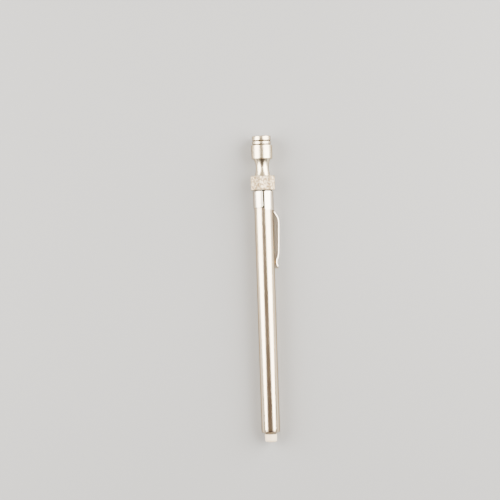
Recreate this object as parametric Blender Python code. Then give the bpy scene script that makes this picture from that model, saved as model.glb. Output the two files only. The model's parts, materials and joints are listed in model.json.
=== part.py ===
"""Pencil tyre pressure gauge with a straight chuck, lying on its side as it rests on a table.

Every piece is modelled on the gauge's own axis: local Z runs along the barrel with the chuck's nose at 0,
so a station's Z is minus its depth behind the nose, and local +X points at the pocket clip's arm. One parent
empty turns that frame so that the nose points to world +Y and the gauge rests on its collar, its tail and
the edge of its clip, with the split in the clip's band and one flat of the indicator bar on top.
"""

import math

import bmesh
import bpy
from mathutils import Vector
from mathutils.geometry import interpolate_bezier

MM = 0.001
WELD = 0.001 * MM

# Driving dimensions.
LENGTH = 152.4 * MM
BARREL_RADIUS = 4.6 * MM
BARREL_WALL = 0.5 * MM
HEAD_RADIUS = 5.2 * MM
NOSE_RADIUS = 4.6 * MM
SOCKET_RADIUS = 3.95 * MM
WAIST_RADIUS = 3.2 * MM
COLLAR_RADIUS = 6.0 * MM
BAR_HALF_WIDTH = 2.0 * MM
BAR_CHAMFER = 0.25 * MM
KNOB_RADIUS = 2.93 * MM
BAR_TRAVEL = 58.0 * MM
RUNNING_GAP = 0.05 * MM
STACK_GAP = 0.1 * MM

# Depths behind the nose.
HEAD_TOP = 4.5 * MM
HEAD_BOTTOM = 11.45 * MM
WAIST = 15.6 * MM
COLLAR_TOP = 19.8 * MM
COLLAR_BOTTOM = 27.0 * MM
BARREL_TOP = 27.5 * MM
SPIGOT_END = 34.0 * MM
BAND_TOP = 27.55 * MM
BAND_BOTTOM = 37.1 * MM
PISTON_TOP = 35.0 * MM
BAR_TOP = 45.2 * MM
BARREL_END = 147.85 * MM
KNOB_TOP = 148.45 * MM

# Facets round each turned piece.
ROUND = 48
INNER_ROUND = 32
SMALL_ROUND = 16

BORE_RADIUS = BARREL_RADIUS - BARREL_WALL
SPIGOT_RADIUS = BORE_RADIUS - STACK_GAP
AIR_RADIUS = 1.25 * MM

# Knurled collar: peaks and pits alternate on a grid of columns and rows.
KNURL_ROWS = 12
KNURL_DEPTH = 0.22 * MM
KNURL_TOP = COLLAR_TOP + 0.35 * MM
KNURL_BOTTOM = COLLAR_BOTTOM - 0.35 * MM
COLLAR_CHAMFER = 0.35 * MM

# Clip: a split band round the barrel and a sprung arm below it.
CLIP_THICKNESS = 0.4 * MM
BAND_INNER = BARREL_RADIUS + RUNNING_GAP
BAND_OUTER = BAND_INNER + CLIP_THICKNESS
BAND_COLUMNS = 44
BAND_STEP = 1.3 * MM
SLIT_LEAN = math.radians(2.9)
SLIT_WIDTH = 0.75 * MM
SLIT_CORNER = 0.8 * MM
# The strip's two ends stay straight over this angle on each side of the split.
BAND_END_ANGLE = 0.30
HINGE_GAP = 0.3 * MM
ARM_ROOT_HALF_WIDTH = 2.35 * MM
ARM_TIP_HALF_WIDTH = 1.95 * MM
ARM_TIP_CORNER = 1.2 * MM
ARM_COLUMNS = 6
ROWS_PER_SPAN = 3
# The arm's middle surface as (depth behind the nose, distance from the barrel's axis).
ARM_PATH = [
    (37.4 * MM, 4.85 * MM),
    (38.7 * MM, 5.6 * MM),
    (40.2 * MM, 6.6 * MM),
    (42.3 * MM, 7.18 * MM),
    (49.0 * MM, 7.1 * MM),
    (57.0 * MM, 6.8 * MM),
    (60.2 * MM, 6.45 * MM),
    (61.6 * MM, 5.8 * MM),
    (63.2 * MM, 5.5 * MM),
    (64.8 * MM, 6.05 * MM),
    (66.2 * MM, 6.75 * MM),
]
ARM_FLATTENS_OVER = 4.0 * MM
DIMPLE_DEPTH_STATION = 63.0 * MM
DIMPLE_RADIUS = 1.5 * MM
DIMPLE_HEIGHT = 0.65 * MM

# Compression spring between the piston and the tail.
WIRE_RADIUS = 0.35 * MM
COIL_RADIUS = 3.4 * MM
COIL_TURNS = 22
COIL_POINTS_PER_TURN = 10
SPRING_TOP = 40.1 * MM
SPRING_END = 141.8 * MM

BUMPER_TOP = 141.9 * MM
BUSHING_TOP = 142.6 * MM
BUSHING_END = 146.65 * MM
SQUARE_HOLE = BAR_HALF_WIDTH + 0.12 * MM
LEAF_SLOT_TOP = 143.2 * MM
LEAF_SLOT_END = 146.2 * MM
LEAF_SLOT_REACH = 3.3 * MM
LEAF_SLOT_HALF_WIDTH = 1.1 * MM
LIP_THICKNESS = 0.5 * MM

# Finishes: colour, metallic value and roughness.
NICKEL = ((0.80, 0.77, 0.71), 1.0, 0.25)
BRIGHT_PLATE = ((0.86, 0.84, 0.80), 1.0, 0.15)
BRASS = ((0.78, 0.58, 0.30), 1.0, 0.35)
SPRING_STEEL = ((0.55, 0.55, 0.56), 1.0, 0.30)
RUBBER = ((0.03, 0.03, 0.03), 0.0, 0.70)
FIBRE = ((0.30, 0.07, 0.05), 0.0, 0.80)
NYLON = ((0.90, 0.88, 0.83), 0.0, 0.45)


def material(name, finish):
    """A Principled BSDF of the object's own, from its colour, metallic value and roughness."""
    colour, metallic, roughness = finish
    made = bpy.data.materials.new(name)
    made.use_nodes = True
    shader = made.node_tree.nodes["Principled BSDF"]
    shader.inputs["Base Color"].default_value = (*colour, 1.0)
    shader.inputs["Metallic"].default_value = metallic
    shader.inputs["Roughness"].default_value = roughness
    made.diffuse_color = (*colour, 1.0)
    return made


def empty(name, parent=None, location=(0, 0, 0), rotation=(0, 0, 0)):
    made = bpy.data.objects.new(name, None)
    bpy.context.scene.collection.objects.link(made)
    made.parent = parent
    made.location = location
    made.rotation_euler = rotation
    return made


def add_object(name, bm, finish, parent, origin=(0, 0, 0), smooth_angle=40):
    """Turns a bmesh into a named object whose origin is at the given point of its parent's frame."""
    bmesh.ops.remove_doubles(bm, verts=bm.verts, dist=WELD)
    bmesh.ops.recalc_face_normals(bm, faces=bm.faces)
    mesh = bpy.data.meshes.new(name)
    bm.to_mesh(mesh)
    bm.free()
    mesh.shade_smooth()
    mesh.set_sharp_from_angle(angle=math.radians(smooth_angle))
    mesh.materials.append(material(name, finish))
    made = bpy.data.objects.new(name, mesh)
    bpy.context.scene.collection.objects.link(made)
    made.parent = parent
    made.location = origin
    return made


def spun(profile, segments=ROUND):
    """A bmesh turned about Z from a closed profile of (radius, depth) points. Stretches on the axis stay open."""
    bm = bmesh.new()
    verts = [bm.verts.new((radius, 0, -depth)) for radius, depth in profile]
    edges = []
    for a, b in zip(verts, verts[1:] + verts[:1]):
        if a.co.x > WELD or b.co.x > WELD:
            edges.append(bm.edges.new((a, b)))
    bmesh.ops.spin(
        bm,
        geom=verts + edges,
        cent=(0, 0, 0),
        axis=(0, 0, 1),
        angle=math.tau,
        steps=segments,
        use_merge=True,
    )
    return bm


def turned(name, profile, finish, parent, segments=ROUND):
    return add_object(name, spun(profile, segments), finish, parent)


def washer(name, inner, outer, top, bottom, finish, parent, segments=INNER_ROUND):
    profile = [(inner, top), (outer, top), (outer, bottom), (inner, bottom)]
    return turned(name, profile, finish, parent, segments)


def prism(outline, top, bottom):
    """A bmesh of a flat outline in X and Y drawn out along the axis from one depth to another."""
    bm = bmesh.new()
    face = bm.faces.new([bm.verts.new((x, y, -top)) for x, y in outline])
    swept = bmesh.ops.extrude_face_region(bm, geom=[face])
    moved = [v for v in swept["geom"] if isinstance(v, bmesh.types.BMVert)]
    bmesh.ops.translate(bm, verts=moved, vec=(0, 0, top - bottom))
    return bm


def bar_section(half_width, chamfer):
    """The outline of a square bar with flattened corners."""
    near = half_width - chamfer
    return [
        (half_width, -near),
        (half_width, near),
        (near, half_width),
        (-near, half_width),
        (-half_width, near),
        (-half_width, -near),
        (-near, -half_width),
        (near, -half_width),
    ]


def circle(radius, segments, centre=(0, 0)):
    turns = (math.tau * (k + 0.25) / segments for k in range(segments))
    return [(centre[0] + radius * math.cos(t), centre[1] + radius * math.sin(t)) for t in turns]


def rectangle(x_low, x_high, y_low, y_high):
    return [(x_low, y_low), (x_high, y_low), (x_high, y_high), (x_low, y_high)]


def combine(target, tool, operation):
    """Joins or cuts the target with a hidden tool object."""
    modifier = target.modifiers.new(operation.lower(), "BOOLEAN")
    modifier.operation = operation
    modifier.object = tool
    tool.hide_render = True
    tool.display_type = "WIRE"


def rounded_corner(radius, depth, size, steps=3):
    """Profile points of a quarter round from an outer wall down on to an end face."""
    points = []
    for k in range(steps + 1):
        angle = math.pi / 2 * k / steps
        points.append((radius - size + size * math.cos(angle), depth - size + size * math.sin(angle)))
    return points


def neck_radius(depth):
    """The hourglass neck: a parabola on each side of the waist."""
    if depth < WAIST:
        end, radius = HEAD_BOTTOM, 4.15 * MM
    else:
        end, radius = COLLAR_TOP, 3.95 * MM
    return WAIST_RADIUS + (radius - WAIST_RADIUS) * ((depth - WAIST) / (end - WAIST)) ** 2


def knurl_row_depth(row):
    return KNURL_TOP + (KNURL_BOTTOM - KNURL_TOP) * row / KNURL_ROWS


def cut_knurl(bm):
    """Sinks every second point of the collar's grid and folds each cell along its two low corners."""
    column_step = math.tau / ROUND
    row_step = (KNURL_BOTTOM - KNURL_TOP) / KNURL_ROWS
    low, grid = set(), set()
    for v in bm.verts:
        depth = -v.co.z
        radius = math.hypot(v.co.x, v.co.y)
        if not (KNURL_TOP - WELD < depth < KNURL_BOTTOM + WELD) or radius < COLLAR_RADIUS - WELD:
            continue
        grid.add(v)
        column = round(math.atan2(v.co.y, v.co.x) / column_step)
        row = round((depth - KNURL_TOP) / row_step)
        if (column + row) % 2:
            low.add(v)
            scale = (COLLAR_RADIUS - KNURL_DEPTH) / COLLAR_RADIUS
            v.co.x *= scale
            v.co.y *= scale
    for face in [f for f in bm.faces if all(v in grid for v in f.verts)]:
        corners = [v for v in face.verts if v in low]
        bmesh.utils.face_split(face, corners[0], corners[1])


def make_chuck_body(parent):
    """Head, necked stem, knurled collar and the spigot that screws into the barrel, turned from one bar."""
    counterbore = HEAD_RADIUS - 0.7 * MM
    seal_shelf = 8.1 * MM
    depressor_seat = 9.4 * MM
    seat_radius = 3.2 * MM
    neck = [HEAD_BOTTOM + 0.1 * MM + (COLLAR_TOP - HEAD_BOTTOM - 0.1 * MM) * k / 8 for k in range(9)]
    profile = [
        (counterbore, HEAD_TOP),
        (HEAD_RADIUS - 0.2 * MM, HEAD_TOP),
        (HEAD_RADIUS, HEAD_TOP + 0.2 * MM),
        (HEAD_RADIUS, HEAD_BOTTOM - 0.2 * MM),
        (HEAD_RADIUS - 0.2 * MM, HEAD_BOTTOM),
    ]
    profile += [(neck_radius(depth), depth) for depth in neck]
    profile.append((COLLAR_RADIUS - COLLAR_CHAMFER, COLLAR_TOP))
    profile += [(COLLAR_RADIUS, knurl_row_depth(row)) for row in range(KNURL_ROWS + 1)]
    profile += [
        (COLLAR_RADIUS - COLLAR_CHAMFER, COLLAR_BOTTOM),
        (SPIGOT_RADIUS, COLLAR_BOTTOM),
        (SPIGOT_RADIUS, SPIGOT_END - 0.3 * MM),
        (SPIGOT_RADIUS - 0.3 * MM, SPIGOT_END),
        (AIR_RADIUS, SPIGOT_END),
        (AIR_RADIUS, depressor_seat + 0.9 * MM),
        (seat_radius - 1.1 * MM, depressor_seat),
        (seat_radius, depressor_seat),
        (seat_radius, seal_shelf),
        (counterbore, seal_shelf),
    ]
    bm = spun(profile)
    bmesh.ops.remove_doubles(bm, verts=bm.verts, dist=WELD)
    cut_knurl(bm)
    return add_object("chuck_body", bm, NICKEL, parent, smooth_angle=30)


def make_nose_ring(parent):
    """The grooved ring that screws into the head and holds the seal down."""
    groove_top, groove_bottom = 2.15 * MM, 2.65 * MM
    groove_radius = NOSE_RADIUS - 0.35 * MM
    skirt_radius = HEAD_RADIUS - 0.78 * MM
    flange_bottom = HEAD_TOP - 0.3 * MM
    skirt_end = 5.55 * MM
    edge = 0.1 * MM
    profile = [
        (SOCKET_RADIUS, edge),
        (SOCKET_RADIUS + edge, 0.0),
        (NOSE_RADIUS - 2 * edge, 0.0),
        (NOSE_RADIUS, 2 * edge),
        (NOSE_RADIUS, groove_top),
        (groove_radius, groove_top + edge),
        (groove_radius, groove_bottom - edge),
        (NOSE_RADIUS, groove_bottom),
        (NOSE_RADIUS, flange_bottom),
        (skirt_radius, flange_bottom),
        (skirt_radius, skirt_end),
        (SOCKET_RADIUS, skirt_end),
    ]
    return turned("nose_ring", profile, NICKEL, parent)


def make_valve_seal(parent):
    hole = 1.9 * MM
    outer = HEAD_RADIUS - 0.78 * MM
    top, bottom = 5.65 * MM, 8.0 * MM
    profile = [(hole, top + 0.3 * MM), (hole + 0.3 * MM, top), (outer, top), (outer, bottom), (hole, bottom)]
    return turned("valve_seal", profile, RUBBER, parent, INNER_ROUND)


def make_depressor(parent):
    """The pin that opens the tyre valve's core, on a disc with four air holes."""
    pin_radius, pin_tip = 0.75 * MM, 5.15 * MM
    disc_radius, disc_top, disc_bottom = 3.1 * MM, 8.2 * MM, 9.3 * MM
    profile = [
        (0.0, pin_tip),
        (0.45 * MM, pin_tip),
        (pin_radius, pin_tip + 0.3 * MM),
        (pin_radius, disc_top),
        (disc_radius, disc_top),
        (disc_radius, disc_bottom),
        (0.0, disc_bottom),
    ]
    pin = turned("depressor", profile, BRASS, parent, INNER_ROUND)
    hole_radius, hole_circle, overshoot = 0.42 * MM, 1.4 * MM, 0.5 * MM
    for k, centre in enumerate(circle(hole_circle, 4)):
        hole = prism(circle(hole_radius, SMALL_ROUND, centre), disc_top - overshoot, disc_bottom + overshoot)
        combine(pin, add_object(f"air_hole_cutter_{k}", hole, BRASS, parent), "DIFFERENCE")
    return pin


def make_barrel(parent):
    """The drawn tube, with its lower end rolled in to hold the guide bushing."""
    lip_radius, roll = 3.1 * MM, 1.0 * MM
    profile = [
        (BORE_RADIUS, BARREL_TOP),
        (BARREL_RADIUS - 0.15 * MM, BARREL_TOP),
        (BARREL_RADIUS, BARREL_TOP + 0.15 * MM),
    ]
    profile += rounded_corner(BARREL_RADIUS, BARREL_END, roll)
    profile += [
        (lip_radius, BARREL_END),
        (lip_radius, BARREL_END - LIP_THICKNESS),
        (BORE_RADIUS, BARREL_END - LIP_THICKNESS),
    ]
    return turned("barrel", profile, NICKEL, parent)


def sheet(name, grid, thickness, finish, parent):
    """A sheet-metal piece: rows of points on its middle surface, thickened both ways."""
    bm = bmesh.new()
    rows = [[bm.verts.new(p) for p in row] for row in grid]
    for upper, lower in zip(rows, rows[1:]):
        for k in range(len(upper) - 1):
            bm.faces.new((upper[k], upper[k + 1], lower[k + 1], lower[k]))
    made = add_object(name, bm, finish, parent)
    solidify = made.modifiers.new("thickness", "SOLIDIFY")
    solidify.thickness = thickness
    solidify.offset = 0.0
    solidify.use_even_offset = True
    return made


def band_edge_rise(distance):
    """How far the band's edge draws back at a distance from its split, for a round corner."""
    if distance >= SLIT_CORNER:
        return 0.0
    return SLIT_CORNER - math.sqrt(SLIT_CORNER**2 - (SLIT_CORNER - distance) ** 2)


def band_bottom(share):
    """The lower edge from the arm's side of the split (0) round the back to the other side (1)."""
    blend = min(1.0, max(0.0, (share - 0.5) / 0.3))
    return BAND_BOTTOM - BAND_STEP * blend * blend * (3 - 2 * blend)


def make_clip_band(parent, roll):
    """The split band that grips the barrel. It runs from the split past the arm and round the back."""
    slit_angle = SLIT_LEAN - math.pi / 2 - roll
    middle = (BAND_INNER + BAND_OUTER) / 2
    half_slit = SLIT_WIDTH / 2 / middle
    sweep = math.tau - 2 * half_slit
    corner_steps = (0.0, 0.15, 0.5, 1.0)
    corner = [SLIT_CORNER * s / middle / sweep for s in corner_steps]
    inner = [corner[-1] + (1 - 2 * corner[-1]) * k / BAND_COLUMNS for k in range(1, BAND_COLUMNS)]
    shares = corner + inner + [1 - c for c in reversed(corner)]
    upper, lower = [], []
    for share in shares:
        angle = slit_angle + half_slit + sweep * share
        rise = band_edge_rise(min(share, 1 - share) * sweep * middle)
        from_slit = half_slit + min(share, 1 - share) * sweep
        radius = middle / math.cos(max(0.0, BAND_END_ANGLE - from_slit))
        x, y = radius * math.cos(angle), radius * math.sin(angle)
        upper.append((x, y, -(BAND_TOP + rise / 2)))
        lower.append((x, y, -(band_bottom(share) - rise)))
    return sheet("clip_band", [upper, lower], CLIP_THICKNESS, BRIGHT_PLATE, parent)


def smooth_path(points, steps):
    """Points along a smooth curve through the given ones, a fixed number to each span."""
    path = [Vector((depth, radius)) for depth, radius in points]
    ends = [path[0] * 2 - path[1]] + path + [path[-1] * 2 - path[-2]]
    curve = []
    for before, a, b, after in zip(ends, ends[1:], ends[2:], ends[3:]):
        span = (b - a).length
        leave = (b - before).normalized() * span / 3
        arrive = (after - a).normalized() * span / 3
        curve += interpolate_bezier(a, a + leave, b - arrive, b, steps + 1)[:-1]
    return curve + [path[-1]]


def arm_half_width(depth):
    """Tapers from the root to the tip, which has round corners."""
    first, last = ARM_PATH[0][0], ARM_PATH[-1][0]
    share = (depth - first) / (last - first)
    width = ARM_ROOT_HALF_WIDTH + (ARM_TIP_HALF_WIDTH - ARM_ROOT_HALF_WIDTH) * share
    into_tip = depth - (last - ARM_TIP_CORNER)
    if into_tip > 0:
        width -= ARM_TIP_CORNER - math.sqrt(max(0.0, ARM_TIP_CORNER**2 - into_tip**2))
    return width


def arm_rows():
    """The arm's middle surface: curved like the band at its root, then flat, with a dimple near its tip."""
    rows = []
    for depth, radius in smooth_path(ARM_PATH, ROWS_PER_SPAN):
        half = arm_half_width(depth)
        flat = min(1.0, (depth - ARM_PATH[0][0]) / ARM_FLATTENS_OVER)
        row = []
        for k in range(ARM_COLUMNS + 1):
            y = half * (2 * k / ARM_COLUMNS - 1)
            sag = radius - math.sqrt(radius**2 - y**2)
            off = math.hypot(y, depth - DIMPLE_DEPTH_STATION) / DIMPLE_RADIUS
            dent = DIMPLE_HEIGHT * math.cos(math.pi / 2 * off) ** 2 if off < 1 else 0.0
            row.append((radius - (1 - flat) * sag - dent, y, -depth))
        rows.append(row)
    return rows


def make_clip_arm(parent, hinge):
    rows = [[Vector(point) - hinge for point in row] for row in arm_rows()]
    return sheet("clip_arm", rows, CLIP_THICKNESS, BRIGHT_PLATE, parent)


def floor_drop(depth):
    """Distance from the axis to the table the gauge lies on, which touches the collar and the tail."""
    slope = (COLLAR_RADIUS - BARREL_RADIUS) / (BARREL_END - COLLAR_BOTTOM)
    return COLLAR_RADIUS - (depth - COLLAR_BOTTOM) * slope


def resting_roll():
    """How far the clip's arm points below the horizontal when its edge touches the table."""
    rolls = []
    for row in arm_rows():
        x, y, z = row[-1]
        x += CLIP_THICKNESS / 2
        reach = math.hypot(x, y)
        drop = floor_drop(-z)
        if reach > drop:
            rolls.append(math.asin(drop / reach) - math.atan2(y, x))
    return min(rolls)


def widest_side(roll):
    """The furthest the clip's arm reaches to the side once the gauge lies on the table."""
    reach = []
    for row in arm_rows():
        x, y, _ = row[-1]
        x += CLIP_THICKNESS / 2
        reach.append(math.hypot(x, y) * math.cos(roll - math.atan2(y, x)))
    return max(reach)


def make_piston(parent):
    """A rubber cup between two washers on a rivet, and the stem that pushes the indicator bar."""
    rivet_hole = 0.95 * MM
    outer = BORE_RADIUS - RUNNING_GAP
    cup_floor_top, cup_floor_bottom = PISTON_TOP + 3.0 * MM, PISTON_TOP + 4.0 * MM
    cup = [
        (outer, PISTON_TOP),
        (outer, cup_floor_bottom - 0.3 * MM),
        (outer - 0.3 * MM, cup_floor_bottom),
        (rivet_hole, cup_floor_bottom),
        (rivet_hole, cup_floor_top),
        (outer - 0.8 * MM, cup_floor_top),
        (outer - 0.7 * MM, cup_floor_top - 0.4 * MM),
        (outer - 0.45 * MM, PISTON_TOP),
    ]
    turned("piston_cup", cup, RUBBER, parent, INNER_ROUND)
    retainer_bottom = cup_floor_top - STACK_GAP
    retainer_top = retainer_bottom - 0.8 * MM
    washer("cup_retainer", rivet_hole, 3.0 * MM, retainer_top, retainer_bottom, BRASS, parent)
    seat_top = cup_floor_bottom + STACK_GAP
    seat_bottom = seat_top + 0.8 * MM
    boss_end = seat_bottom + 1.6 * MM
    boss_radius = COIL_RADIUS - WIRE_RADIUS - 0.25 * MM
    seat = [
        (rivet_hole, seat_top),
        (outer - STACK_GAP, seat_top),
        (outer - STACK_GAP, seat_bottom),
        (boss_radius, seat_bottom),
        (boss_radius, boss_end),
        (rivet_hole, boss_end),
    ]
    turned("spring_seat", seat, BRASS, parent, INNER_ROUND)
    stem_top, stem_end = boss_end + STACK_GAP, BAR_TOP - 0.2 * MM
    shank_end = stem_top + 1.4 * MM
    stem_radius = 2.0 * MM
    stem = [
        (rivet_hole, stem_top),
        (stem_radius, stem_top),
        (stem_radius, stem_end - 0.3 * MM),
        (stem_radius - 0.3 * MM, stem_end),
        (0.0, stem_end),
        (0.0, shank_end + STACK_GAP),
        (rivet_hole, shank_end + STACK_GAP),
    ]
    turned("piston_stem", stem, BRASS, parent, INNER_ROUND)
    head_bottom = retainer_top - STACK_GAP
    head_top = head_bottom - 0.6 * MM
    shank, head = rivet_hole - STACK_GAP, 1.6 * MM
    rivet = [
        (0.0, head_top),
        (0.6 * head, head_top),
        (head, head_bottom - 0.2 * MM),
        (head, head_bottom),
        (shank, head_bottom),
        (shank, shank_end),
        (0.0, shank_end),
    ]
    turned("piston_rivet", rivet, BRASS, parent, INNER_ROUND)


def make_pressure_spring(parent):
    """Round wire wound from the piston's seat to the tail, with a closed turn at each end."""
    top, end = SPRING_TOP + WIRE_RADIUS, SPRING_END - WIRE_RADIUS
    closed_rise = 2.2 * WIRE_RADIUS
    count = COIL_TURNS * COIL_POINTS_PER_TURN
    curve = bpy.data.curves.new("pressure_spring", "CURVE")
    curve.dimensions = "3D"
    curve.bevel_depth = WIRE_RADIUS
    curve.bevel_resolution = 1
    curve.use_fill_caps = True
    curve.materials.append(material("pressure_spring", SPRING_STEEL))
    line = curve.splines.new("POLY")
    line.points.add(count)
    open_turns = COIL_TURNS - 2
    pitch = (end - top - 2 * closed_rise) / open_turns
    for k, point in enumerate(line.points):
        turn = k / COIL_POINTS_PER_TURN
        depth = top + closed_rise * min(turn, 1)
        depth += pitch * min(max(turn - 1, 0), open_turns)
        depth += closed_rise * max(turn - 1 - open_turns, 0)
        angle = math.tau * turn
        point.co = (COIL_RADIUS * math.cos(angle), COIL_RADIUS * math.sin(angle), -depth, 1)
    made = bpy.data.objects.new("pressure_spring", curve)
    bpy.context.scene.collection.objects.link(made)
    made.parent = parent
    return made


def make_indicator_bar(parent):
    """The square bar that slides out to show the pressure, and its end knob."""
    into_knob = 1.2 * MM
    section = bar_section(BAR_HALF_WIDTH, BAR_CHAMFER)
    bar = add_object(
        "indicator_bar", prism(section, BAR_TOP, KNOB_TOP + into_knob), NYLON, parent, smooth_angle=20
    )
    top_edge, end_edge = 0.15 * MM, 0.4 * MM
    profile = [
        (0.0, KNOB_TOP),
        (KNOB_RADIUS - top_edge, KNOB_TOP),
        (KNOB_RADIUS, KNOB_TOP + top_edge),
        (KNOB_RADIUS, LENGTH - end_edge),
        (KNOB_RADIUS - end_edge, LENGTH),
        (0.0, LENGTH),
    ]
    combine(bar, turned("knob_shape", profile, NYLON, parent, INNER_ROUND), "UNION")
    return bar


def make_bar_ferrule(parent):
    """The crimped collar that meets the bushing when the bar is right out."""
    wall, length, overshoot = 0.2 * MM, 2.0 * MM, 0.5 * MM
    end = BUSHING_TOP - BAR_TRAVEL - RUNNING_GAP
    top = end - length
    outline = bar_section(BAR_HALF_WIDTH + RUNNING_GAP + wall, BAR_CHAMFER + wall)
    ferrule = add_object("bar_ferrule", prism(outline, top, end), BRASS, parent, smooth_angle=20)
    hole = prism(bar_section(BAR_HALF_WIDTH + RUNNING_GAP, BAR_CHAMFER), top - overshoot, end + overshoot)
    combine(ferrule, add_object("ferrule_cutter", hole, BRASS, parent), "DIFFERENCE")
    return ferrule


def square_cutter(name, top, bottom, parent):
    """Cuts the bar's square hole through a piece that lies between two depths."""
    overshoot = 0.2 * MM
    outline = rectangle(-SQUARE_HOLE, SQUARE_HOLE, -SQUARE_HOLE, SQUARE_HOLE)
    return add_object(name, prism(outline, top - overshoot, bottom + overshoot), NYLON, parent)


def make_tail(parent):
    """What the barrel's rolled end holds: a washer, the bar's guide bushing and the spring's bumper."""
    outer = BORE_RADIUS - RUNNING_GAP
    washer_top, washer_end = BUSHING_END + STACK_GAP, BARREL_END - LIP_THICKNESS - RUNNING_GAP
    end_washer = washer("end_washer", 0.0, outer, washer_top, washer_end, BRASS, parent)
    combine(end_washer, square_cutter("washer_hole_cutter", washer_top, washer_end, parent), "DIFFERENCE")
    bushing = washer("end_bushing", 0.0, outer, BUSHING_TOP, BUSHING_END, NYLON, parent)
    combine(bushing, square_cutter("bushing_hole_cutter", BUSHING_TOP, BUSHING_END, parent), "DIFFERENCE")
    slot = rectangle(-LEAF_SLOT_HALF_WIDTH, LEAF_SLOT_HALF_WIDTH, 0.0, LEAF_SLOT_REACH)
    slot_tool = add_object("leaf_slot_cutter", prism(slot, LEAF_SLOT_TOP, LEAF_SLOT_END), NYLON, parent)
    combine(bushing, slot_tool, "DIFFERENCE")
    bumper_bottom = BUSHING_TOP - STACK_GAP
    washer("end_bumper", 2.95 * MM, outer - STACK_GAP, BUMPER_TOP, bumper_bottom, FIBRE, parent)


def make_friction_leaf(parent):
    """The bowed leaf in the bushing's slot that holds the bar wherever the piston left it."""
    thickness, half_width, steps = 0.15 * MM, 0.9 * MM, 8
    top, end = LEAF_SLOT_TOP + STACK_GAP, LEAF_SLOT_END - STACK_GAP
    high = LEAF_SLOT_REACH - thickness / 2 - STACK_GAP
    low = BAR_HALF_WIDTH + thickness / 2 + RUNNING_GAP
    rows = []
    for k in range(steps + 1):
        share = k / steps
        y = low + (high - low) * (2 * share - 1) ** 2
        depth = top + (end - top) * share
        rows.append([(-half_width, y, -depth), (half_width, y, -depth)])
    return sheet("friction_leaf", rows, thickness, SPRING_STEEL, parent)


def main():
    for old in list(bpy.data.objects):
        bpy.data.objects.remove(old)

    roll = resting_roll()
    side = (COLLAR_RADIUS - widest_side(roll)) / 2
    gauge = empty("gauge_axis", None, (side, LENGTH / 2, COLLAR_RADIUS), (-math.pi / 2, roll, 0))
    hinge = Vector((ARM_PATH[0][1], 0.0, -(BAND_BOTTOM + HINGE_GAP / 2)))
    clip_axis = empty("clip_turn_axis", gauge)
    arm_axis = empty("clip_hinge_axis", clip_axis, hinge)
    piston_axis = empty("piston_axis", gauge)
    bar_axis = empty("bar_axis", gauge, (0, 0, 0), (0, 0, -roll))
    bar_guide = empty("bar_guide", gauge, (0, 0, 0), (0, 0, -roll))

    make_chuck_body(gauge)
    make_nose_ring(gauge)
    make_valve_seal(gauge)
    make_depressor(gauge)
    gasket_top, gasket_end = COLLAR_BOTTOM + RUNNING_GAP, BARREL_TOP - RUNNING_GAP
    gasket_hole = SPIGOT_RADIUS + RUNNING_GAP
    washer("barrel_gasket", gasket_hole, BARREL_RADIUS, gasket_top, gasket_end, RUBBER, gauge, ROUND)
    make_barrel(gauge)
    make_tail(bar_guide)
    make_friction_leaf(bar_guide)
    make_pressure_spring(gauge)
    make_clip_band(clip_axis, roll)
    make_clip_arm(arm_axis, hinge)
    make_piston(piston_axis)
    make_indicator_bar(bar_axis)
    make_bar_ferrule(bar_axis)


main()
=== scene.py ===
import json
import math

import bmesh
import bpy
from mathutils import Matrix, Vector
from mathutils.geometry import interpolate_bezier


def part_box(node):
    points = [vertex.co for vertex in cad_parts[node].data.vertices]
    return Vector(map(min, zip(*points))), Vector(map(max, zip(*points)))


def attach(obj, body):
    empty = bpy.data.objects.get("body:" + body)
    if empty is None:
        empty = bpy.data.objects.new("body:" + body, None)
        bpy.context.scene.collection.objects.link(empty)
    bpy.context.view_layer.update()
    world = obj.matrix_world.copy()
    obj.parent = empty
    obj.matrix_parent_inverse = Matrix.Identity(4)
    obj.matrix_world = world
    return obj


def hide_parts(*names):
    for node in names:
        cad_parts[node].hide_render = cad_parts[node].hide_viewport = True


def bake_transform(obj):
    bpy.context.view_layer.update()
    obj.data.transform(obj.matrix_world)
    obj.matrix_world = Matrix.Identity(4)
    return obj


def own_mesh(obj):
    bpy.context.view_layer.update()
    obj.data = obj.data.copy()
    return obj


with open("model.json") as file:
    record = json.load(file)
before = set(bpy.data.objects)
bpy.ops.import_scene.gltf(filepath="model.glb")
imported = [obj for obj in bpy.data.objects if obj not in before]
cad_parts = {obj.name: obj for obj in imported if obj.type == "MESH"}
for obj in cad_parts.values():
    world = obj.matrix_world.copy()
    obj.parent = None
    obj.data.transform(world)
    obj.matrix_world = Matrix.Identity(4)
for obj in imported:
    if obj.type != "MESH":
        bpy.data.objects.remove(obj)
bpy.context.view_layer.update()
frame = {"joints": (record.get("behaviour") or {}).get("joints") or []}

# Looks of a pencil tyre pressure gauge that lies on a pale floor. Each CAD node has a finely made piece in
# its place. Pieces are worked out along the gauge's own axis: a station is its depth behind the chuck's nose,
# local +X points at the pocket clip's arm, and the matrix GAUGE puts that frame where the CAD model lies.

MM = 0.001

# ---- Places, from the frame ----
barrel_low, barrel_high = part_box("barrel")
nose_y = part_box("nose_ring")[1].y
knob_end_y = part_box("indicator_bar")[0].y
axis_x = (barrel_low.x + barrel_high.x) / 2
axis_z = (barrel_low.z + barrel_high.z) / 2
joints = {joint["name"]: joint for joint in frame["joints"]}


def gauge_matrix():
    """Local X along the clip's arm side, local -Y along the clip's hinge and local Z towards the nose."""
    local_y = -Vector(joints["clip_flex"]["axis"]).normalized()
    local_z = Vector((0, 1, 0))
    local_x = local_y.cross(local_z)
    turn = Matrix((local_x, local_y, local_z)).transposed().to_4x4()
    return Matrix.Translation((axis_x, nose_y, axis_z)) @ turn


GAUGE = gauge_matrix()
ROLL = math.atan2(-GAUGE[2][0], GAUGE[0][0])
LENGTH = nose_y - knob_end_y
BAR_TRAVEL = joints["bar_slide"]["range_m"][1]

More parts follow.
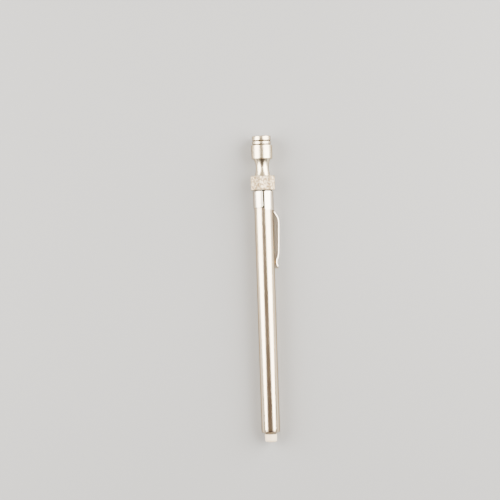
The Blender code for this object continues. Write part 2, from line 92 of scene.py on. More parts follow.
# ---- Sizes, as the CAD has them ----
BARREL_RADIUS = (barrel_high.x - barrel_low.x) / 2
BORE_RADIUS = BARREL_RADIUS - 0.5 * MM
HEAD_RADIUS = 5.2 * MM
NOSE_RADIUS = 4.6 * MM
SOCKET_RADIUS = 3.95 * MM
WAIST_RADIUS = 3.2 * MM
COLLAR_RADIUS = (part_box("chuck_body")[1].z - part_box("chuck_body")[0].z) / 2
BAR_HALF_WIDTH = 2.0 * MM
KNOB_RADIUS = 2.93 * MM
AIR_RADIUS = 1.25 * MM
RUNNING_GAP = 0.05 * MM
STACK_GAP = 0.1 * MM

HEAD_TOP = 4.5 * MM
HEAD_BOTTOM = 11.45 * MM
WAIST = 15.6 * MM
COLLAR_TOP = 19.8 * MM
COLLAR_BOTTOM = 27.0 * MM
BARREL_TOP = nose_y - barrel_high.y
BARREL_END = nose_y - barrel_low.y
SPIGOT_END = 34.0 * MM
BAND_TOP = 27.55 * MM
BAND_BOTTOM = 37.1 * MM
PISTON_TOP = 35.0 * MM
BAR_TOP = 45.2 * MM
KNOB_TOP = 148.45 * MM
BUMPER_TOP = 141.9 * MM
BUSHING_TOP = 142.6 * MM
BUSHING_END = 146.65 * MM
SPRING_TOP = 40.1 * MM
SPRING_END = 141.8 * MM

FINE = 192
MEDIUM = 96


# ---- Mesh tools ----
def softened(corners, steps=5):
    """Profile points with each corner rounded by its third value, the length it takes from each side."""
    points = []
    count = len(corners)
    for k, corner in enumerate(corners):
        if len(corner) < 3:
            points.append(corner)
            continue
        here = Vector(corner[:2])
        before = Vector(corners[k - 1][:2]) - here
        after = Vector(corners[(k + 1) % count][:2]) - here
        start = here + before.normalized() * corner[2]
        end = here + after.normalized() * corner[2]
        pull = 0.55
        curve = interpolate_bezier(start, start.lerp(here, pull), end.lerp(here, pull), end, steps + 1)
        points += [tuple(point) for point in curve]
    return points


def square_section(half_width, corner):
    """Radius against angle of a square with flattened corners."""
    diagonal = 2 * half_width - corner

    def radius(angle):
        across, up = abs(math.cos(angle)), abs(math.sin(angle))
        return min(half_width / max(across, up), diagonal / (across + up))

    return radius


def lathe(profile, segments, turn=0.0):
    """A closed mesh turned about the gauge's axis. A profile point is (radius or section, depth)."""
    points, rings, faces = [], [], []
    for section, depth in profile:
        if section == 0:
            rings.append([len(points)] * segments)
            points.append((0, 0, -depth))
            continue
        ring = []
        for k in range(segments):
            angle = math.tau * k / segments
            radius = section(angle) if callable(section) else section
            ring.append(len(points))
            points.append((radius * math.cos(angle + turn), radius * math.sin(angle + turn), -depth))
        rings.append(ring)
    for upper, lower in zip(rings, rings[1:] + rings[:1]):
        for k in range(segments):
            loop = (upper[k], lower[k], lower[(k + 1) % segments], upper[(k + 1) % segments])
            corners = list(dict.fromkeys(loop))
            if len(corners) > 2:
                faces.append(corners)
    mesh = bpy.data.meshes.new("turned")
    mesh.from_pydata(points, [], faces)
    return mesh


def add_piece(name, mesh, surface, body, nodes, smooth_angle=35):
    """Puts a mesh made in the gauge's frame into the scene, riding on its body in place of its CAD nodes."""
    mesh.transform(GAUGE)
    solid = bmesh.new()
    solid.from_mesh(mesh)
    bmesh.ops.recalc_face_normals(solid, faces=solid.faces)
    solid.to_mesh(mesh)
    solid.free()
    mesh.name = name
    mesh.shade_smooth()
    mesh.set_sharp_from_angle(angle=math.radians(smooth_angle))
    mesh.materials.clear()
    mesh.materials.append(surface)
    piece = bpy.data.objects.new(name, mesh)
    bpy.context.scene.collection.objects.link(piece)
    shading = piece.modifiers.new("even_shading", "WEIGHTED_NORMAL")
    shading.keep_sharp = True
    if body:
        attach(piece, body)
    if nodes:
        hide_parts(*nodes)
    return piece


def settle(piece):
    """Bakes a piece's modifiers into its mesh."""
    bpy.context.view_layer.update()
    graph = bpy.context.evaluated_depsgraph_get()
    final = bpy.data.meshes.new_from_object(piece.evaluated_get(graph))
    piece.modifiers.clear()
    piece.data = final


def cut(piece, profile_mesh):
    """Takes a closed mesh in the gauge's frame out of a piece."""
    profile_mesh.transform(GAUGE)
    tool = bpy.data.objects.new("tool", profile_mesh)
    bpy.context.scene.collection.objects.link(tool)
    cutter = piece.modifiers.new("cut", "BOOLEAN")
    cutter.operation = "DIFFERENCE"
    cutter.object = tool
    settle(piece)
    bpy.data.objects.remove(tool)
    piece.data.set_sharp_from_angle(angle=math.radians(35))


def prism(outline, top, bottom):
    """A closed mesh of a flat outline in X and Y drawn from one depth to another."""
    count = len(outline)
    points = [(x, y, -top) for x, y in outline] + [(x, y, -bottom) for x, y in outline]
    faces = [list(range(count)), list(range(2 * count - 1, count - 1, -1))]
    faces += [(k, (k + 1) % count, (k + 1) % count + count, k + count) for k in range(count)]
    mesh = bpy.data.meshes.new("prism")
    mesh.from_pydata(points, [], faces)
    return mesh


def mark_cuts(mesh, cuts):
    """Gives each point of a mesh its share of a cut's depth, for the material."""
    attribute = mesh.attributes.new("cut", "FLOAT", "POINT")
    attribute.data.foreach_set("value", cuts)


# ---- Materials ----
class Look:
    """A Principled material and the few node steps that its surface detail is made of."""

    def __init__(self, name, **settings):
        self.material = bpy.data.materials.new(name)
        self.material.use_nodes = True
        self.tree = self.material.node_tree
        self.shader = self.tree.nodes["Principled BSDF"]
        for key, value in settings.items():
            self.shader.inputs[key.replace("_", " ")].default_value = value

    def node(self, kind, links=(), **settings):
        made = self.tree.nodes.new(kind)
        for key, value in settings.items():
            setattr(made, key, value)
        for socket, source in dict(links).items():
            if isinstance(source, bpy.types.NodeSocket):
                self.tree.links.new(source, made.inputs[socket])
            else:
                made.inputs[socket].default_value = source
        return made

    def noise(self, stretch, detail=3.0, scale=1.0, rough=0.5):
        """Noise in the piece's own space, with a separate scale for X, Y and Z."""
        where = self.node("ShaderNodeTexCoord").outputs["Object"]
        mapped = self.node("ShaderNodeMapping", {"Vector": where, "Scale": stretch})
        links = {"Vector": mapped.outputs[0], "Scale": scale, "Detail": detail, "Roughness": rough}
        return self.node("ShaderNodeTexNoise", links).outputs[0]

    def spread(self, value, low, high, from_low=0.3, from_high=0.7):
        """Maps a value on to a new range."""
        links = {0: value, 1: from_low, 2: from_high, 3: low, 4: high}
        return self.node("ShaderNodeMapRange", links).outputs[0]

    def blend(self, share, first, second):
        mix = self.node("ShaderNodeMix", {0: share, 6: (*first, 1), 7: (*second, 1)}, data_type="RGBA")
        return mix.outputs[2]

    def bump(self, height, strength, distance, under=None):
        links = {"Height": height, "Strength": strength, "Distance": distance}
        if under:
            links["Normal"] = under
        return self.node("ShaderNodeBump", links).outputs[0]

    def set(self, **sources):
        for key, source in sources.items():
            self.tree.links.new(source, self.shader.inputs[key.replace("_", " ")])
        return self.material


# How plating reflects at a glancing angle, set darker than plating's own: painted shade on the glancing
# edges, for the shadowed floor beside the gauge that they would mirror.
EDGE_SHADE_TINT = (0.24, 0.17, 0.13, 1)


# Depth of the tool lines in plated metal, and how fine the specks of painted shade are.
LINE_DEPTH = 0.004 * MM
SPECK_SCALE = (1150, 1150, 1150)
# How much duller plating is at the bottom of a cut.
CUT_DULLS = 0.45


def plated(name, light, dark, smooth, rough, lines, line_strength):
    """Plated metal: a slightly uneven tint, patchy gloss and fine tool lines."""
    look = Look(name, Metallic=1.0, Specular_Tint=EDGE_SHADE_TINT)
    patches = look.noise((120, 45, 120), detail=4.0)
    tint = look.blend(look.spread(patches, 0, 1), light, dark)
    fine = look.noise(lines, detail=2.0)
    gloss = look.spread(patches, smooth, rough)
    normal = look.bump(fine, line_strength, LINE_DEPTH)
    return look.set(Base_Color=tint, Roughness=gloss, Normal=normal)


def worked_plate(name, light, dark, shallow_shade, deep_shade, smooth, rough, lines, line_strength):
    """Plated metal with cuts. The mesh's cut value says how deep a point is in one. Painted shade darkens it
    there, in specks where the cut is shallow.
    """
    look = Look(name, Specular_Tint=EDGE_SHADE_TINT)
    depth = look.node("ShaderNodeAttribute", attribute_name="cut").outputs["Fac"]
    patches = look.noise((120, 90, 120), detail=4.0)
    specks = look.spread(look.noise(SPECK_SCALE, detail=1.0), 0.1, 2.0, 0.37, 0.63)
    clean = look.blend(look.spread(patches, 0, 1), light, dark)
    # Painted shade: a darker, less metallic colour in cuts, speckled where they are shallow.
    reach = look.node("ShaderNodeMath", {0: depth, 1: specks}, operation="MULTIPLY")
    cut_shade = look.spread(reach.outputs[0], 0, 1, 0.2, 1.0)
    painted_shade = look.blend(look.spread(depth, 0, 1, 0.75, 1.0), shallow_shade, deep_shade)
    mix = look.node("ShaderNodeMix", {0: cut_shade, 6: clean, 7: painted_shade}, data_type="RGBA")
    worn = look.node("ShaderNodeMath", {0: depth, 1: CUT_DULLS}, operation="MULTIPLY_ADD", use_clamp=True)
    look.tree.links.new(look.spread(patches, smooth, rough), worn.inputs[2])
    metal = look.spread(cut_shade, 1.0, 0.4, 0.0, 1.0)
    fine = look.noise(lines, detail=2.0)
    normal = look.bump(fine, line_strength, LINE_DEPTH)
    return look.set(Base_Color=mix.outputs[2], Metallic=metal, Roughness=worn.outputs[0], Normal=normal)


def moulded(name, light, dark, rough, grain_scale, grain_depth, painted_shade=None, **extra):
    """A moulded plastic or rubber skin with a fine grain, slow random changes of tone and painted shade in
    any cuts.
    """
    look = Look(name, **extra)
    shade = look.noise((150, 150, 150), detail=3.0)
    tint = look.blend(look.spread(shade, 0, 1), light, dark)
    if painted_shade:
        # Painted shade in cuts, by the mesh's cut value.
        depth = look.node("ShaderNodeAttribute", attribute_name="cut").outputs["Fac"]
        mix = look.node("ShaderNodeMix", {0: depth, 6: tint, 7: (*painted_shade, 1)}, data_type="RGBA")
        tint = mix.outputs[2]
    grain = look.noise((grain_scale,) * 3, detail=4.0)
    gloss = look.spread(grain, rough - 0.06, rough + 0.06)
    return look.set(Base_Color=tint, Roughness=gloss, Normal=look.bump(grain, 0.3, grain_depth))


# Tool lines, as noise stretched round a turned piece or along a drawn one.
AROUND = (160, 9000, 160)
ALONG = (7000, 60, 7000)
nickel_head = worked_plate(
    "nickel_head",
    light=(0.86, 0.73, 0.52),
    dark=(0.77, 0.63, 0.42),
    # Colours of painted shade in shallow and deep cuts.
    shallow_shade=(0.32, 0.21, 0.10),
    deep_shade=(0.06, 0.04, 0.02),
    smooth=0.22,
    rough=0.32,
    lines=AROUND,
    line_strength=0.25,
)
nickel_barrel = worked_plate(
    "nickel_barrel",
    light=(0.85, 0.71, 0.52),
    dark=(0.77, 0.62, 0.43),
    # Colours of painted shade in shallow and deep cuts.
    shallow_shade=(0.2, 0.12, 0.06),
    deep_shade=(0.03, 0.025, 0.022),
    smooth=0.17,
    rough=0.24,
    lines=ALONG,
    line_strength=0.06,
)
clip_plate = plated("clip_plate", (0.90, 0.81, 0.67), (0.83, 0.72, 0.57), 0.15, 0.24, ALONG, 0.08)
brass = plated("brass_turned", (0.80, 0.58, 0.28), (0.70, 0.48, 0.21), 0.24, 0.36, AROUND, 0.3)
spring_steel = plated("spring_steel", (0.62, 0.61, 0.60), (0.48, 0.47, 0.46), 0.22, 0.36, AROUND, 0.1)
rubber = moulded("black_rubber", (0.025, 0.025, 0.026), (0.045, 0.043, 0.042), 0.62, 2500, 0.01 * MM)
fibre = moulded("red_fibre", (0.34, 0.075, 0.05), (0.22, 0.05, 0.035), 0.80, 3500, 0.02 * MM)
nylon = moulded(
    "white_nylon",
    (1.0, 0.80, 0.56),
    (0.96, 0.76, 0.51),
    0.42,
    1800,
    0.006 * MM,
    # Painted shadow in the gap at the knob's root.
    painted_shade=(0.030, 0.020, 0.014),
    Subsurface_Weight=0.15,
    Subsurface_Radius=(0.0012, 0.0009, 0.0006),
    Subsurface_Scale=1.0,
)
ink = moulded("black_ink", (0.02, 0.02, 0.022), (0.035, 0.035, 0.036), 0.5, 4000, 0.002 * MM)


# ---- Chuck ----
KNURL_STARTS = 48
KNURL_PITCH = 1.3 * MM
KNURL_DEPTH = 0.18 * MM
# The share of a diamond's rise that its walls take. The rest is its flat top.
KNURL_WALL = 0.8
# How dull the knurl's flats are and how much speckled painted shade they get, and how much painted shade its
# shallow grooves get, as shares of a deep groove.
KNURL_DULL, KNURL_SHADE = 0.3, 0.42
# Turned grooves get painted shade from wall to wall, so their cut value goes far past 1. It starts a little
# way down.
GROOVE_SHADE = 12.0
SHADE_FROM, SHADE_RISE, SHADE_REACH = 0.3, 0.2 * MM, 0.5 * MM
KNURL_COLUMNS = 384
KNURL_ROWS = 52
COLLAR_CHAMFER = 0.35 * MM


def neck_radius(depth):
    """The hourglass neck: a parabola on each side of the waist."""
    if depth < WAIST:
        end, radius = HEAD_BOTTOM, 4.15 * MM
    else:
        end, radius = COLLAR_TOP, 3.95 * MM
    return WAIST_RADIUS + (radius - WAIST_RADIUS) * ((depth - WAIST) / (end - WAIST)) ** 2


def chuck_profile():
    """From the head's mouth down the outside to the spigot, and back up the air passage."""
    counterbore, seat_radius = HEAD_RADIUS - 0.7 * MM, 3.2 * MM
    seal_shelf, depressor_seat = 8.1 * MM, 9.4 * MM
    edge = 0.25 * MM
    spigot = BORE_RADIUS - STACK_GAP
    corners = [
        (counterbore, HEAD_TOP, 0.08 * MM),
        (HEAD_RADIUS, HEAD_TOP, edge),
        (HEAD_RADIUS, HEAD_BOTTOM, edge * 1.4),
    ]
    neck_start = HEAD_BOTTOM + 0.02 * MM
    rows = 40
    for k in range(rows + 1):
        depth = neck_start + (COLLAR_TOP - neck_start) * k / rows
        corners.append((neck_radius(depth), depth))
    corners.append((COLLAR_RADIUS - COLLAR_CHAMFER, COLLAR_TOP))
    first, last = COLLAR_TOP + COLLAR_CHAMFER, COLLAR_BOTTOM - COLLAR_CHAMFER
    for k in range(KNURL_ROWS + 1):
        corners.append((COLLAR_RADIUS, first + (last - first) * k / KNURL_ROWS))
    corners += [
        (COLLAR_RADIUS - COLLAR_CHAMFER, COLLAR_BOTTOM),
        (spigot, COLLAR_BOTTOM),
        (spigot, SPIGOT_END, 0.3 * MM),
        (AIR_RADIUS, SPIGOT_END, 0.1 * MM),
        (AIR_RADIUS, depressor_seat + 0.9 * MM),
        (seat_radius - 1.1 * MM, depressor_seat),
        (seat_radius, depressor_seat),
        (seat_radius, seal_shelf),
        (counterbore, seal_shelf),
    ]
    return softened(corners)


def knurl_cut(angle, depth):
    """How deep the diamond knurl is cut at a point, from 0 on the flats to 1 in the grooves."""
    around = angle * KNURL_STARTS / math.tau
    along = depth / KNURL_PITCH
    shares = ((around + along) % 1.0, (around - along) % 1.0)
    height = min(1 - abs(2 * share - 1) for share in shares)
    return 1 - min(1.0, height / KNURL_WALL)


def make_chuck():
    """Head, neck, knurled collar and spigot, turned from one bar. The knurl is cut into the mesh."""
    mesh = lathe(chuck_profile(), KNURL_COLUMNS)
    cuts = []
    low, high = COLLAR_TOP + COLLAR_CHAMFER * 0.9, COLLAR_BOTTOM - COLLAR_CHAMFER * 0.9
    for vertex in mesh.vertices:
        x, y, z = vertex.co
        radius = math.hypot(x, y)
        on_collar = low < -z < high and radius > COLLAR_RADIUS - 0.01 * MM
        share = knurl_cut(math.atan2(y, x), -z) if on_collar else 0.0
        # The step inside the head's mouth gets a turned groove's painted shade. The knurl gets painted shade
        # in its grooves, in specks on its flats.
        at_step = -z < HEAD_TOP + 0.03 * MM and radius < HEAD_RADIUS - 0.4 * MM
        dull = KNURL_DULL + share * KNURL_SHADE if on_collar else 0.0
        cuts.append(GROOVE_SHADE if at_step else dull)
        if share:
            scale = 1 - KNURL_DEPTH * share / radius
            vertex.co.x *= scale
            vertex.co.y *= scale
    mark_cuts(mesh, cuts)
    return add_piece("chuck_body_fine", mesh, nickel_head, "gauge_body", ["chuck_body"])


def make_nose_ring():
    """The ring that takes the valve: a rounded lip, a groove and a flange, with a chamfered socket."""
    groove_top, groove_bottom = 2.15 * MM, 2.7 * MM
    groove_radius = NOSE_RADIUS - 0.38 * MM
    skirt_radius = HEAD_RADIUS - 0.78 * MM
    flange_bottom, skirt_end = HEAD_TOP - 0.45 * MM, 5.55 * MM
    joint_radius, joint_end = NOSE_RADIUS - 0.42 * MM, HEAD_TOP + 0.1 * MM
    corners = [
        (SOCKET_RADIUS, 0.0, 0.22 * MM),
        (NOSE_RADIUS, 0.0, 0.36 * MM),
        (NOSE_RADIUS, groove_top, 0.14 * MM),
        (groove_radius, groove_top + 0.08 * MM, 0.06 * MM),
        (groove_radius, groove_bottom - 0.08 * MM, 0.06 * MM),
        (NOSE_RADIUS, groove_bottom, 0.14 * MM),
        (NOSE_RADIUS, flange_bottom, 0.14 * MM),
        (joint_radius, flange_bottom),
        (joint_radius, joint_end),
        (skirt_radius, joint_end),
        (skirt_radius, skirt_end, 0.05 * MM),
        (SOCKET_RADIUS, skirt_end, 0.1 * MM),
    ]
    mesh = lathe(softened(corners), FINE)
    cuts = []
    # Painted shade in the groove and in the gap under the flange, deepest a little way in.
    for vertex in mesh.vertices:
        outside = NOSE_RADIUS - math.hypot(vertex.co.x, vertex.co.y)
        in_groove = groove_top - 0.1 * MM < -vertex.co.z < groove_bottom + 0.1 * MM
        at_joint = -vertex.co.z > flange_bottom - 0.05 * MM
        painted_shade = outside < SHADE_REACH and (in_groove or at_joint)
        reach = outside / SHADE_RISE - SHADE_FROM if painted_shade else 0.0
        cuts.append(GROOVE_SHADE * min(1.0, max(0.0, reach)))
    mark_cuts(mesh, cuts)
    return add_piece("nose_ring_fine", mesh, nickel_head, "gauge_body", ["nose_ring"])


def make_valve_seal():
    hole, outer = 1.9 * MM, HEAD_RADIUS - 0.78 * MM
    top, bottom = 5.65 * MM, 8.0 * MM
    corners = [
        (hole, top, 0.45 * MM),
        (outer, top, 0.2 * MM),
        (outer, bottom, 0.2 * MM),
        (hole, bottom, 0.3 * MM),
    ]
    mesh = lathe(softened(corners), MEDIUM)
    return add_piece("valve_seal_fine", mesh, rubber, "gauge_body", ["valve_seal"])


def make_depressor():
    """The pin that opens the tyre valve's core, on a disc with four air holes."""
    pin_radius, pin_tip = 0.75 * MM, 5.15 * MM
    disc_radius, disc_top, disc_bottom = 3.1 * MM, 8.2 * MM, 9.3 * MM
    corners = [
        (0, pin_tip),
        (pin_radius, pin_tip, 0.3 * MM),
        (pin_radius, disc_top, 0.2 * MM),
        (disc_radius, disc_top, 0.15 * MM),
        (disc_radius, disc_bottom, 0.1 * MM),
        (0, disc_bottom),
    ]
    mesh = lathe(softened(corners), MEDIUM)
    piece = add_piece("depressor_fine", mesh, brass, "gauge_body", ["depressor"])
    hole_radius, hole_circle, holes, sides = 0.42 * MM, 1.4 * MM, 4, 24
    for k in range(holes):
        middle = math.tau * (k + 0.25) / holes
        outline = []
        for j in range(sides):
            angle = math.tau * (j + 0.3) / sides
            x = hole_circle * math.cos(middle) + hole_radius * math.cos(angle)
            y = hole_circle * math.sin(middle) + hole_radius * math.sin(angle)
            outline.append((x, y))
        cut(piece, prism(outline, disc_top - 0.5 * MM, disc_bottom + 0.5 * MM))
    return piece


def make_gasket():
    inner = BORE_RADIUS - STACK_GAP + RUNNING_GAP
    top, bottom = COLLAR_BOTTOM + RUNNING_GAP, BARREL_TOP - RUNNING_GAP
    corners = [
        (inner, top),
        (BARREL_RADIUS, top, 0.15 * MM),
        (BARREL_RADIUS, bottom, 0.15 * MM),
        (inner, bottom),
    ]
    mesh = lathe(softened(corners), FINE)
    return add_piece("barrel_gasket_fine", mesh, rubber, "gauge_body", ["barrel_gasket"])


# ---- Barrel and tail ----
LIP_THICKNESS = 0.5 * MM
# Painted shadow on the barrel under the clip's band, seen in the split. As dark as a turned groove's painted
# shade.
UNDER_BAND_SHADOW = GROOVE_SHADE
SQUARE_HOLE = BAR_HALF_WIDTH + 0.12 * MM


def make_barrel():
    """The drawn tube, with its lower end rolled in. Painted shadow under the clip's band is seen in the
    split.
    """
    lip_radius = 3.1 * MM
    corners = [(BORE_RADIUS, BARREL_TOP, 0.05 * MM), (BARREL_RADIUS, BARREL_TOP, 0.15 * MM)]
    shadow_top, shadow_end, fade = BAND_TOP + 0.2 * MM, BAND_BOTTOM - BAND_STEP - 0.6 * MM, 0.8 * MM
    rings = 22
    corners += [(BARREL_RADIUS, depth) for depth in (shadow_top, shadow_top + fade, shadow_end, shadow_end + fade)]
    first = shadow_end + 2 * fade
    corners += [(BARREL_RADIUS, first + (BARREL_END - 2 * MM - first) * k / rings) for k in range(rings + 1)]
    corners += [
        (BARREL_RADIUS, BARREL_END, 1.0 * MM),
        (lip_radius, BARREL_END, 0.12 * MM),
        (lip_radius, BARREL_END - LIP_THICKNESS, 0.12 * MM),
        (BORE_RADIUS, BARREL_END - LIP_THICKNESS),
    ]
    mesh = lathe(softened(corners), FINE)
    cuts = []
    for vertex in mesh.vertices:
        depth = -vertex.co.z
        into = min(depth - shadow_top, shadow_end + fade - depth) / fade
        cuts.append(UNDER_BAND_SHADOW * min(1.0, max(0.0, into)))
    mark_cuts(mesh, cuts)
    return add_piece("barrel_fine", mesh, nickel_barrel, "gauge_body", ["barrel"])


def make_square_hole_ring(name, top, bottom, outer, surface, node):
    """A round piece with the bar's square hole through it."""
    hole = square_section(SQUARE_HOLE, 0.1 * MM)
    edge = 0.12 * MM
    profile = [
        (hole, bottom),
        (hole, top),
        (outer - edge, top),
        (outer, top + edge),
        (outer, bottom - edge),
        (outer - edge, bottom),
    ]
    return add_piece(name, lathe(profile, FINE, -ROLL), surface, "gauge_body", [node])


def turned_point(x, y):
    """A point of the bar's own square frame, whose flats face up and to the sides of the scene."""
    return (x * math.cos(-ROLL) - y * math.sin(-ROLL), x * math.sin(-ROLL) + y * math.cos(-ROLL))


LEAF_TOP, LEAF_END, LEAF_REACH, LEAF_SLOT_HALF = 143.2 * MM, 146.2 * MM, 3.3 * MM, 1.1 * MM


def make_tail():
    """What the rolled end holds: a brass washer, the nylon guide bushing and the spring's fibre bumper."""
    outer = BORE_RADIUS - RUNNING_GAP
    washer_end = BARREL_END - LIP_THICKNESS - RUNNING_GAP
    make_square_hole_ring(
        "end_washer_fine", BUSHING_END + STACK_GAP, washer_end, outer, brass, "end_washer"
    )
    bushing = make_square_hole_ring(
        "end_bushing_fine", BUSHING_TOP, BUSHING_END, outer, nylon, "end_bushing"
    )
    half = LEAF_SLOT_HALF
    outline = [turned_point(*p) for p in ((-half, 0), (half, 0), (half, LEAF_REACH), (-half, LEAF_REACH))]
    cut(bushing, prism(outline, LEAF_TOP, LEAF_END))
    bumper = [
        (2.95 * MM, BUMPER_TOP, 0.08 * MM),
        (outer - STACK_GAP, BUMPER_TOP, 0.08 * MM),
        (outer - STACK_GAP, BUSHING_TOP - STACK_GAP, 0.08 * MM),
        (2.95 * MM, BUSHING_TOP - STACK_GAP, 0.08 * MM),
    ]
    mesh = lathe(softened(bumper), MEDIUM)
    add_piece("end_bumper_fine", mesh, fibre, "gauge_body", ["end_bumper"])


def make_friction_leaf():
    """The bowed spring leaf in the bushing's slot."""
    thickness, half_width, steps = 0.15 * MM, 0.9 * MM, 24
    top, end = LEAF_TOP + STACK_GAP, LEAF_END - STACK_GAP
    high = LEAF_REACH - thickness / 2 - STACK_GAP
    low = BAR_HALF_WIDTH + thickness / 2 + RUNNING_GAP
    points, faces = [], []
    for k in range(steps + 1):
        share = k / steps
        y = low + (high - low) * (2 * share - 1) ** 2
        depth = top + (end - top) * share
        corners = ((-1, -1), (1, -1), (1, 1), (-1, 1))
        for across, out in corners:
            x, turned_y = turned_point(across * half_width, y + out * thickness / 2)
            points.append((x, turned_y, -depth))
    for k in range(steps):
        for j in range(4):
            a, b = 4 * k + j, 4 * k + (j + 1) % 4
            faces.append((a, b, b + 4, a + 4))
    faces += [(0, 1, 2, 3), tuple(4 * steps + j for j in range(4))]
    mesh = bpy.data.meshes.new("leaf")
    mesh.from_pydata(points, [], faces)
    name, slot = "friction_leaf_fine", "spring_steel"
    return add_piece(name, mesh, spring_steel, "gauge_body", ["friction_leaf"])


# ---- Indicator bar ----
BAR_CORNER = 0.25 * MM
FULL_SCALE_PSI = 50
FULL_SCALE_TRAVEL = 55.0 * MM
KPA_PER_PSI = 6.895


def make_bar():
    """The square nylon bar and the round knob at its end, moulded as one, with painted shadow at the knob's
    root.
    """
    section = square_section(BAR_HALF_WIDTH, BAR_CORNER)
    knob = softened(
        [
            (KNOB_RADIUS, KNOB_TOP, 0.16 * MM),
            (KNOB_RADIUS, KNOB_TOP + 2.0 * MM),
            (KNOB_RADIUS * 0.985, LENGTH, 0.75 * MM),
            (0, LENGTH),
        ]
    )
    small = square_section(BAR_HALF_WIDTH - 0.12 * MM, BAR_CORNER)
    root_radius, root_top = 2.7 * MM, BARREL_END - 0.3 * MM
    bar = [(0, BAR_TOP), (small, BAR_TOP), (section, BAR_TOP + 0.12 * MM), (section, root_top)]
    root = [(root_radius, root_top), (root_radius, KNOB_TOP)]
    mesh = lathe(bar + root + knob, FINE, -ROLL)
    radii = [math.hypot(vertex.co.x, vertex.co.y) for vertex in mesh.vertices]
    # Painted shadow on the root between the barrel's end and the knob.
    mark_cuts(mesh, [float(abs(radius - root_radius) < 0.01 * MM) for radius in radii])
    return add_piece("indicator_bar_fine", mesh, nylon, "bar", ["indicator_bar"])


def make_ferrule():
    """The crimped collar that stops the bar at the bushing."""
    end = BUSHING_TOP - BAR_TRAVEL - RUNNING_GAP
    top = end - 2.0 * MM
    inner = square_section(BAR_HALF_WIDTH + RUNNING_GAP, BAR_CORNER)
    outer = square_section(BAR_HALF_WIDTH + RUNNING_GAP + 0.2 * MM, BAR_CORNER + 0.2 * MM)
    edge = square_section(BAR_HALF_WIDTH + RUNNING_GAP + 0.12 * MM, BAR_CORNER + 0.2 * MM)
    step = 0.08 * MM
    profile = [(inner, end), (inner, top), (edge, top), (outer, top + step), (outer, end - step), (edge, end)]
    mesh = lathe(profile, MEDIUM * 2, -ROLL)
    return add_piece("bar_ferrule_fine", mesh, brass, "bar", ["bar_ferrule"])


def scale_depth(psi):
    """The mark that shows at the barrel's end at a pressure, drawn in by the travel at that pressure."""
    return BARREL_END - FULL_SCALE_TRAVEL * psi / FULL_SCALE_PSI


def add_block(solid, depth, across, length, width, raised, turn):
    """One thin printed mark on the flat of the bar that faces an angle."""
    made = bmesh.ops.create_cube(solid, size=1.0)["verts"]
    size = Matrix.Diagonal((raised, width, length, 1))
    place = Matrix.Translation((BAR_HALF_WIDTH, across, -depth))
    bmesh.ops.transform(solid, matrix=Matrix.Rotation(turn, 4, "Z") @ place @ size, verts=made)


def number_mesh(text, height, raised):
    """Printed digits as a thin solid, centred, lying in X and Y."""
    curve = bpy.data.curves.new("digits", "FONT")
    curve.body = text
    curve.size = height
    curve.extrude = raised / 2
    curve.offset = 0.022 * height
    curve.align_x = "CENTER"
    curve.align_y = "CENTER"
    holder = bpy.data.objects.new("digits", curve)
    bpy.context.scene.collection.objects.link(holder)
    bpy.context.view_layer.update()
    graph = bpy.context.evaluated_depsgraph_get()
    mesh = bpy.data.meshes.new_from_object(holder.evaluated_get(graph))
    bpy.data.objects.remove(holder)
    return mesh


def make_scale(name, turn, units_per_psi, first, last, minor, major, numbered):
    """Ticks and numbers of one scale, on the flat of the bar that faces an angle."""
    raised = 0.04 * MM
    solid = bmesh.new()
    value = first
    while value <= last:
        depth = scale_depth(value / units_per_psi)
        long_tick = value % major == 0
        width = (1.5 if long_tick else 0.8) * MM
        across = -BAR_HALF_WIDTH + 0.25 * MM + width / 2
        add_block(solid, depth, across, (0.26 if long_tick else 0.17) * MM, width, raised, turn)
        if value % numbered == 0:
            digits = number_mesh(str(value), 1.55 * MM, raised)
            lay = Matrix(((0, 0, 1), (0, 1, 0), (-1, 0, 0))).to_4x4()
            place = Matrix.Translation((BAR_HALF_WIDTH, 0.75 * MM, -(depth + 0.1 * MM)))
            digits.transform(Matrix.Rotation(turn, 4, "Z") @ place @ lay)
            solid.from_mesh(digits)
        value += minor
    mesh = bpy.data.meshes.new(name)
    solid.to_mesh(mesh)
    solid.free()
    return add_piece(name, mesh, ink, "bar", [])


